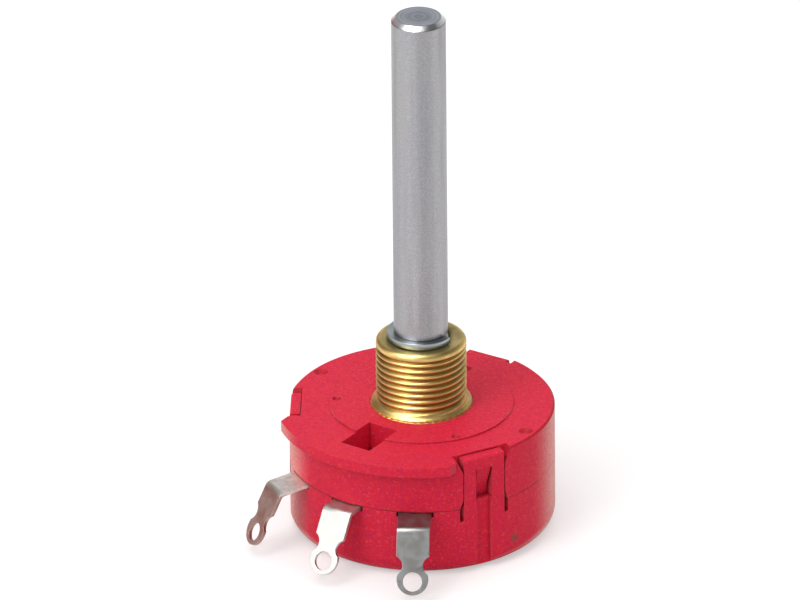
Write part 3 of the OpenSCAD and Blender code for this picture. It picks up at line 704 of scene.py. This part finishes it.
def barrel_profile(thread):
    """Outline of the bushing: bore, collar in the front wall, seat, flare, threaded part and shoulder."""
    # The collar stays inside the solid's by this much
    inset = 0.02 * MM
    bore = 3.03 * MM
    foot = BARREL_FOOT + inset
    neck = 5.6 * MM - inset
    collar = 6.5 * MM - inset
    collar_foot = BARREL_FOOT + 0.5 * MM
    collar_top = BARREL_FOOT + 1.5 * MM
    seat = thread.seat
    outline = [
        (bore, foot), (neck, foot), (neck, collar_foot - inset),
        (collar, collar_foot + inset), (collar, collar_top - inset),
        (seat + inset, collar_top), (seat + inset, FACE_Z), (seat, FACE_Z + inset),
        (seat, FACE_Z + 0.16 * MM), (seat - 0.03 * MM, FACE_Z + 0.24 * MM),
        (seat - 0.10 * MM, FACE_Z + 0.31 * MM),
    ]
    # The flare runs up from the seat to the thread's radius in a falling curve
    flare_foot = FACE_Z + 0.36 * MM
    flare_height = 0.84 * MM
    flare_width = seat - 0.15 * MM - thread.radius
    rows_per_turn = 11
    height = flare_foot
    while height < thread.end + 0.15 * MM:
        rise = min(1.0, (height - flare_foot) / flare_height)
        outline.append((thread.radius + flare_width * (1 - rise) ** 2.2, height))
        height += thread.pitch / rows_per_turn
    centre = (thread.radius - thread.shoulder, BARREL_TOP - thread.shoulder)
    shoulder_steps = 12
    for k in range(shoulder_steps + 1):
        angle = math.pi / 2 * k / shoulder_steps
        reach = (thread.shoulder * math.cos(angle), thread.shoulder * math.sin(angle))
        outline.append((centre[0] + reach[0], centre[1] + reach[1]))
    return outline + [(bore + 0.22 * MM, BARREL_TOP), (bore, BARREL_TOP - 0.2 * MM)]


def thread_tree():
    """Geometry nodes that cut a helical thread and a ring of serrations into a turned barrel."""
    build, given, out = new_group(
        "Thread and Serrations", "GeometryNodeTree",
        [("Geometry", "Geometry", None), ("Pitch", "Float", 1.0 * MM), ("Depth", "Float", 0.3 * MM),
         ("Root", "Float", 0.05), ("Flank", "Float", 0.42), ("Start", "Float", 0.0),
         ("End", "Float", 10.0 * MM), ("Run-out", "Float", 1.0 * MM), ("Stop", "Float", 0.2 * MM),
         ("Inner Radius", "Float", 4.0 * MM),
         ("Teeth", "Int", 40), ("Tooth Depth", "Float", 0.2 * MM), ("Seat Bottom", "Float", 0.0),
         ("Seat Top", "Float", 1.0 * MM), ("Material", "Material", None)],
        [("Geometry", "Geometry")],
    )
    place = build.parts(build.add("GeometryNodeInputPosition").outputs[0])
    turn = build.math("DIVIDE", build.math("ARCTAN2", place[1], place[0]), 2 * math.pi)
    radius = build.from_axis(place)
    outside = build.math("GREATER_THAN", radius, given["Inner Radius"])
    # Thread: how far each height is from the groove's middle on the helix
    phase = build.math("FRACT", build.math("SUBTRACT", build.math("DIVIDE", place[2], given["Pitch"]), turn))
    from_root = build.math("ABSOLUTE", build.math("SUBTRACT", phase, 0.5))
    groove = build.span(from_root, given["Root"], given["Flank"], 1.0, 0.0)
    fade_in = build.span(place[2], given["Start"], build.math("ADD", given["Start"], given["Run-out"]))
    fade_out = build.span(place[2], given["End"], build.math("SUBTRACT", given["End"], given["Stop"]))
    cut = build.product(fade_in, fade_out, outside, groove, given["Depth"])
    # Serrations: a notch between each two teeth of the seat
    above = build.math("GREATER_THAN", place[2], given["Seat Bottom"])
    below = build.math("LESS_THAN", place[2], given["Seat Top"])
    tooth = build.math("PINGPONG", build.product(turn, given["Teeth"]), 0.5)
    notch = build.product(tooth, 2.0, given["Tooth Depth"], above, below, outside)
    keep = build.math("SUBTRACT", 1.0, build.math("DIVIDE", build.math("ADD", cut, notch), radius))
    inwards = (build.product(place[0], keep), build.product(place[1], keep))
    moved = build.add("ShaderNodeCombineXYZ", {0: inwards[0], 1: inwards[1], 2: place[2]}).outputs[0]
    shaped = build.add("GeometryNodeSetPosition", {0: given["Geometry"], "Position": moved}).outputs[0]
    whole = build.add("GeometryNodeRealizeInstances", {0: shaped}).outputs[0]
    coated = build.add("GeometryNodeSetMaterial", {0: whole, "Material": given["Material"]}).outputs[0]
    build.feed(coated, out["Geometry"])
    return build.tree


def with_nodes(source, tree, values):
    """Adds a geometry nodes modifier and sets its inputs by their identifiers."""
    modifier = source.modifiers.new(tree.name, "NODES")
    modifier.node_group = tree
    for item in tree.interface.items_tree:
        if item.item_type == "SOCKET" and item.in_out == "INPUT" and item.name in values:
            modifier[item.identifier] = values[item.name]


def dressed_copy(node, width, segments):
    """A copy of a node with its loose triangles joined and its sharp edges rounded."""
    bm = bmesh.new()
    bm.from_mesh(NODES[node].data)
    bmesh.ops.remove_doubles(bm, verts=bm.verts, dist=1e-7)
    bmesh.ops.dissolve_limit(bm, angle_limit=math.radians(0.5), verts=bm.verts, edges=bm.edges)
    # No edge is marked sharp, because the bevel rounds those that are
    made = finish_mesh(node + "_rounded", bm, sharp=180.0)
    bevel = made.modifiers.new("Rounded edges", "BEVEL")
    bevel.width = width
    bevel.segments = segments
    bevel.limit_method = "ANGLE"
    bevel.angle_limit = math.radians(32)
    flat = made.modifiers.new("Flat faces stay flat", "WEIGHTED_NORMAL")
    flat.weight = 100
    return applied(made, "dressed_" + node)


def stand_for(piece, node, material=None):
    """Lets a piece replace a node, on the node's own body."""
    if material:
        piece.data.materials.clear()
        piece.data.materials.append(material)
    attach(piece, NODES[node]["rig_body"])
    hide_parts(node)


# Pieces

class POTENTIOMETER_OT_body(bpy.types.Operator):
    """Gives the two moulded shells their mottled red plastic"""

    bl_idname = "potentiometer.body"
    bl_label = "Moulded body"

    def execute(self, context):
        look = context.scene.pot_body
        paint("front_housing", moulded_shell("moulded_red_front", look, seamed=True))
        paint("rear_housing", moulded_shell("moulded_red_rear", look, smudged=True))
        return {"FINISHED"}


class POTENTIOMETER_OT_bushing(bpy.types.Operator):
    """Turns the threaded bushing with its serrated seat"""

    bl_idname = "potentiometer.bushing"
    bl_label = "Threaded bushing"

    def execute(self, context):
        thread = context.scene.pot_thread
        brass = brass_of_bushing(context.scene.pot_metal, thread)
        columns_per_tooth = 6
        barrel = lathe("barrel", barrel_profile(thread), columns_per_tooth * thread.teeth)
        with_nodes(barrel, thread_tree(), {
            "Pitch": thread.pitch, "Depth": thread.depth, "Root": thread.root, "Flank": thread.flank,
            "Start": thread.start, "End": thread.end, "Run-out": thread.run_out, "Stop": thread.stop,
            "Inner Radius": thread.radius - 0.8 * MM, "Teeth": thread.teeth,
            "Tooth Depth": thread.tooth_depth, "Seat Bottom": FACE_Z + 0.01 * MM,
            "Seat Top": FACE_Z + thread.seat_height, "Material": brass,
        })
        stand_for(applied(barrel, "threaded_bushing", 50.0), "bushing")
        return {"FINISHED"}


class POTENTIOMETER_OT_shaft(bpy.types.Operator):
    """Finishes the ground shaft, the retaining ring in its groove and the spring washer"""

    bl_idname = "potentiometer.shaft"
    bl_label = "Shaft and ring"

    def execute(self, context):
        metals = context.scene.pot_metal
        paint("shaft", steel_of_shaft(metals))
        spring_steel = metal("spring_steel", metals.ring, metals.ring_dark, 3.0 * MM, 0.32, edge=0.05 * MM,
                             patch_share=0.4, bright=metals.ring_bright, relief=0.15)[0]
        ring = dressed_copy("retaining_ring", 0.05 * MM, 3)
        stand_for(ring, "retaining_ring", spring_steel)
        paint("spring_washer", spring_steel)
        return {"FINISHED"}


class POTENTIOMETER_OT_lugs(bpy.types.Operator):
    """Makes the three tinned solder lugs with rolled edges, and finishes their rivets"""

    bl_idname = "potentiometer.lugs"
    bl_label = "Solder lugs"

    def execute(self, context):
        metals = context.scene.pot_metal
        inner = context.scene.pot_inner
        pale = metal("tinned_brass", metals.tin, metals.tin_dark, 1.1 * MM, 0.43, patch_share=0.2,
                     edge=0.08 * MM, bright=metals.tin_bright)[0]
        # Painted shade: the start lug gets a copy of the tin at under half its lightness.
        shaded_tin = metal("tinned_brass_shaded", scaled(metals.tin, 0.46), metals.shaded_tin_dark, 1.1 * MM, 0.43,
                     patch_share=0.5, edge=0.08 * MM, bright=metals.shaded_tin_bright)[0]
        finishes = {"terminal_start": shaded_tin, "terminal_wiper": pale, "terminal_end": lit_tin_with_tarnish(metals)}
        for node, finish in finishes.items():
            stand_for(dressed_copy(node, 0.07 * MM, 3), node, finish)
        rivet = metal("rivet_head_metal", inner.rivet, inner.rivet_dark, 0.5 * MM, 0.3)[0]
        for node in ("rivet_start", "rivet_wiper", "rivet_end"):
            paint(node, rivet)
        return {"FINISHED"}


class POTENTIOMETER_OT_inner_parts(bpy.types.Operator):
    """Finishes the pieces inside the body: winding, contacts, rotor and washers"""

    bl_idname = "potentiometer.inner_parts"
    bl_label = "Inner parts"

    def execute(self, context):
        inner = context.scene.pot_inner
        contact = metal("contact_sheet_brass", inner.contact, inner.contact_dark, 1.5 * MM, 0.3)[0]
        bronze = metal("spring_bronze_sheet", inner.bronze, inner.bronze_dark, 1.5 * MM, 0.3)[0]
        washer = metal("washer_bronze_sheet", inner.washer, inner.washer_dark, 1.0 * MM, 0.35,
                       spacing=0.08 * MM)[0]
        wire = metal("winding_wire_metal", inner.wire, inner.wire_dark, 0.6 * MM, 0.32)[0]
        board = plastic("former_pressboard", inner.board, inner.board_dark, inner.board_pale, 0.2 * MM,
                        0.05 * MM)[0]
        hub = plastic("hub_phenolic", inner.hub, inner.hub_dark, inner.hub_pale, 0.22 * MM, 0.1 * MM)[0]
        carbon = plastic("brush_carbon", inner.carbon, inner.carbon_dark, inner.carbon_pale, 0.12 * MM,
                         0.04 * MM)[0]
        finishes = {
            "collector_ring": contact, "winding_band_start": contact, "winding_band_end": contact,
            "wiper_arm": bronze, "thrust_washer": washer, "resistance_winding": wire, "winding_former": board,
            "rotor_hub": hub, "winding_brush": carbon, "collector_brush": carbon,
        }
        for node, finish in finishes.items():
            paint(node, finish)
        return {"FINISHED"}


# Stage

def direction_of(azimuth, elevation):
    """A unit vector away from the object: azimuth from +X and elevation above the floor, in degrees."""
    turn, rise = math.radians(azimuth), math.radians(elevation)
    return Vector((math.cos(turn) * math.cos(rise), math.sin(turn) * math.cos(rise), math.sin(rise)))


def aimed_light(name, power, size, azimuth, elevation, distance=1.2, on_matt=True, in_gloss=True):
    """A soft lamp that looks at the mounting face from a direction, and may be left out of matt or gloss."""
    lamp = bpy.data.lights.new(name, "AREA")
    lamp.shape = "RECTANGLE"
    lamp.energy = power
    lamp.size, lamp.size_y = size
    made = bpy.data.objects.new(name, lamp)
    bpy.context.scene.collection.objects.link(made)
    direction = direction_of(azimuth, elevation)
    made.location = Vector((0.0, 0.0, FACE_Z)) + direction * distance
    made.rotation_euler = (-direction).to_track_quat("-Z", "Y").to_euler()
    made.visible_diffuse = on_matt
    made.visible_glossy = in_gloss


def zone(build, look, azimuth, elevation, start, full, change=1.0):
    """A change that sets in where the look comes near to a direction, between two cosines."""
    return build.span(build.dot(look, direction_of(azimuth, elevation)), start, full, 0.0, change)


def kinds_of_ray(build):
    """Masks of the rays that see a surface, and of those that mirror it."""
    ray = build.add("ShaderNodeLightPath").outputs
    return build.math("MAXIMUM", ray["Is Camera Ray"], ray["Is Transmission Ray"]), ray["Is Glossy Ray"]


def set_world(studio):
    """White background, even light for matt surfaces, and soft light and dark zones for gloss."""
    world = bpy.data.worlds.new("studio")
    bpy.context.scene.world = world
    world.use_nodes = True
    world.node_tree.nodes.clear()
    build = TreeBuilder(world.node_tree)
    look = build.add("ShaderNodeTexCoord").outputs["Generated"]
    # In gloss the room is light at the floor and darker overhead, with soft dark zones in it
    gloss = build.span(build.parts(look)[2], 0.40, 0.90, 0.88, 0.26)
    gloss = build.math("ADD", gloss, zone(build, look, -36.0, 46.0, 0.68, 0.98, -0.42))
    gloss = build.math("ADD", gloss, zone(build, look, 176.0, 0.0, 0.66, 0.96, -0.42))
    gloss = build.math("ADD", gloss, zone(build, look, -5.0, 34.0, 0.62, 0.92, -0.38))
    gloss = build.math("ADD", gloss, zone(build, look, -172.0, 38.0, 0.66, 0.96, -0.40))
    gloss = build.math("ADD", gloss, zone(build, look, 58.0, 34.0, 0.64, 0.94, -0.42))
    gloss = build.math("MAXIMUM", gloss, 0.05)
    # On the left lug's side the room is warm
    warmth = zone(build, look, 176.0, 0.0, 0.68, 0.96)
    tint = build.blend(warmth, WHITE, (1.0, 0.52, 0.46, 1.0))
    shiny = build.add("ShaderNodeBackground", {"Color": tint, "Strength": gloss}).outputs[0]
    soft = build.add("ShaderNodeBackground", {"Color": WHITE, "Strength": studio.sky}).outputs[0]
    white = build.add("ShaderNodeBackground", {"Color": WHITE, "Strength": 1.0}).outputs[0]
    seen, glossy = kinds_of_ray(build)
    lit = build.add("ShaderNodeMixShader", {0: glossy, 1: soft, 2: shiny}).outputs[0]
    whole = build.add("ShaderNodeMixShader", {0: seen, 1: lit, 2: white}).outputs[0]
    build.add("ShaderNodeOutputWorld", {"Surface": whole})


def floor_material(studio):
    """Matt floor that looks white to the camera and in gloss, and keeps the shadow."""
    material, build, shader = new_material("studio_floor")
    around = build.add("ShaderNodeVectorMath", {0: build.place()}, operation="NORMALIZE").outputs[0]
    gloss = build.math("ADD", studio.floor_glow, zone(build, around, -31.0, 0.0, 0.74, 0.96, -0.20))
    gloss = build.math("ADD", gloss, zone(build, around, 124.6, 0.0, 0.26, 0.48, -0.14))
    seen, glossy = kinds_of_ray(build)
    glow = build.math("ADD", build.product(seen, studio.floor_glow), build.product(glossy, gloss))
    shader["Base Color"].default_value = rgba(studio.floor)
    shader["Roughness"].default_value = 0.95
    shader["Specular IOR Level"].default_value = 0.1
    shader["Emission Color"].default_value = WHITE
    build.feed(glow, shader["Emission Strength"])
    return material


def place_camera(scene, studio):
    """A long lens at the photograph's angle, aimed a little above the mounting face."""
    towards = direction_of(math.degrees(studio.azimuth) - 90.0, math.degrees(studio.elevation))
    right = Vector((math.cos(studio.azimuth), math.sin(studio.azimuth), 0.0))
    up = towards.cross(right)
    cos_roll, sin_roll = math.cos(studio.roll), math.sin(studio.roll)
    right, up = right * cos_roll - up * sin_roll, up * cos_roll + right * sin_roll
    data = bpy.data.cameras.new("camera")
    data.sensor_width = 36.0
    data.lens = studio.lens
    data.clip_start = 0.01
    data.clip_end = 20.0
    camera = bpy.data.objects.new("camera", data)
    scene.collection.objects.link(camera)
    face = Vector((0.0, 0.0, FACE_Z))
    spot = face + towards * studio.distance + right * studio.aim_right + up * studio.aim_up
    axes = Matrix((right, up, towards)).transposed().to_4x4()
    camera.matrix_world = Matrix.Translation(spot) @ axes
    scene.camera = camera


class POTENTIOMETER_OT_studio(bpy.types.Operator):
    """Sets the floor, the soft lights, the white background and the camera"""

    bl_idname = "potentiometer.studio"
    bl_label = "Studio"

    def execute(self, context):
        studio = context.scene.pot_studio
        half_width = 3.0
        below_part = 0.05 * MM
        bm = bmesh.new()
        bmesh.ops.create_grid(bm, x_segments=8, y_segments=8, size=half_width)
        floor = finish_mesh("studio_floor", bm)
        floor.data.transform(Matrix.Translation((0.0, 0.0, CAD_BOX[0][2] - below_part)))
        floor.data.materials.append(floor_material(studio))
        key = studio.key
        aimed_light("key_light", 1.1 * key, (0.5, 1.3), -102.0, 52.0)
        aimed_light("gloss_strip", key, (0.24, 1.0), -97.0, 27.0, on_matt=False)
        aimed_light("high_gloss", 1.5 * key, (0.42, 0.6), -100.0, 66.0, on_matt=False)
        aimed_light("front_light", 0.3 * key, (0.7, 0.5), -45.0, 32.0, distance=1.3, in_gloss=False)
        aimed_light("left_light", 0.12 * key, (0.45, 0.45), -128.0, 22.0)
        aimed_light("top_light", 0.5 * key, (0.9, 0.9), 100.0, 78.0, distance=1.3, in_gloss=False)
        set_world(studio)
        place_camera(context.scene, studio)
        context.scene.view_settings.view_transform = "Standard"
        return {"FINISHED"}


# Add-on

STEPS = (
    POTENTIOMETER_OT_body, POTENTIOMETER_OT_bushing, POTENTIOMETER_OT_shaft, POTENTIOMETER_OT_lugs,
    POTENTIOMETER_OT_inner_parts, POTENTIOMETER_OT_studio,
)
SETTINGS = {
    "pot_body": BodyFinish, "pot_metal": MetalFinish, "pot_inner": InnerFinish, "pot_thread": ThreadSizes,
    "pot_studio": StudioSettings,
}


class POTENTIOMETER_PT_panel(bpy.types.Panel):
    """Lists the steps and their settings"""

    bl_label = "Potentiometer"
    bl_space_type = "VIEW_3D"
    bl_region_type = "UI"
    bl_category = "Potentiometer"

    def draw(self, context):
        for operator in STEPS:
            self.layout.operator(operator.bl_idname)
        for name in SETTINGS:
            group = getattr(context.scene, name)
            box = self.layout.box()
            for key in group.bl_rna.properties.keys():
                if key not in ("rna_type", "name"):
                    box.prop(group, key)


CLASSES = (*SETTINGS.values(), *STEPS, POTENTIOMETER_PT_panel)


def register():
    """Registers the classes and the scene's settings."""
    for item in CLASSES:
        bpy.utils.register_class(item)
    for name, group in SETTINGS.items():
        setattr(bpy.types.Scene, name, PointerProperty(type=group))


def unregister():
    """Takes away what register added."""
    for name in SETTINGS:
        delattr(bpy.types.Scene, name)
    for item in reversed(CLASSES):
        bpy.utils.unregister_class(item)


def main():
    """Makes every piece and the studio."""
    register()
    bpy.ops.potentiometer.body()
    bpy.ops.potentiometer.bushing()
    bpy.ops.potentiometer.shaft()
    bpy.ops.potentiometer.lugs()
    bpy.ops.potentiometer.inner_parts()
    bpy.ops.potentiometer.studio()


if __name__ == "__main__":
    main()
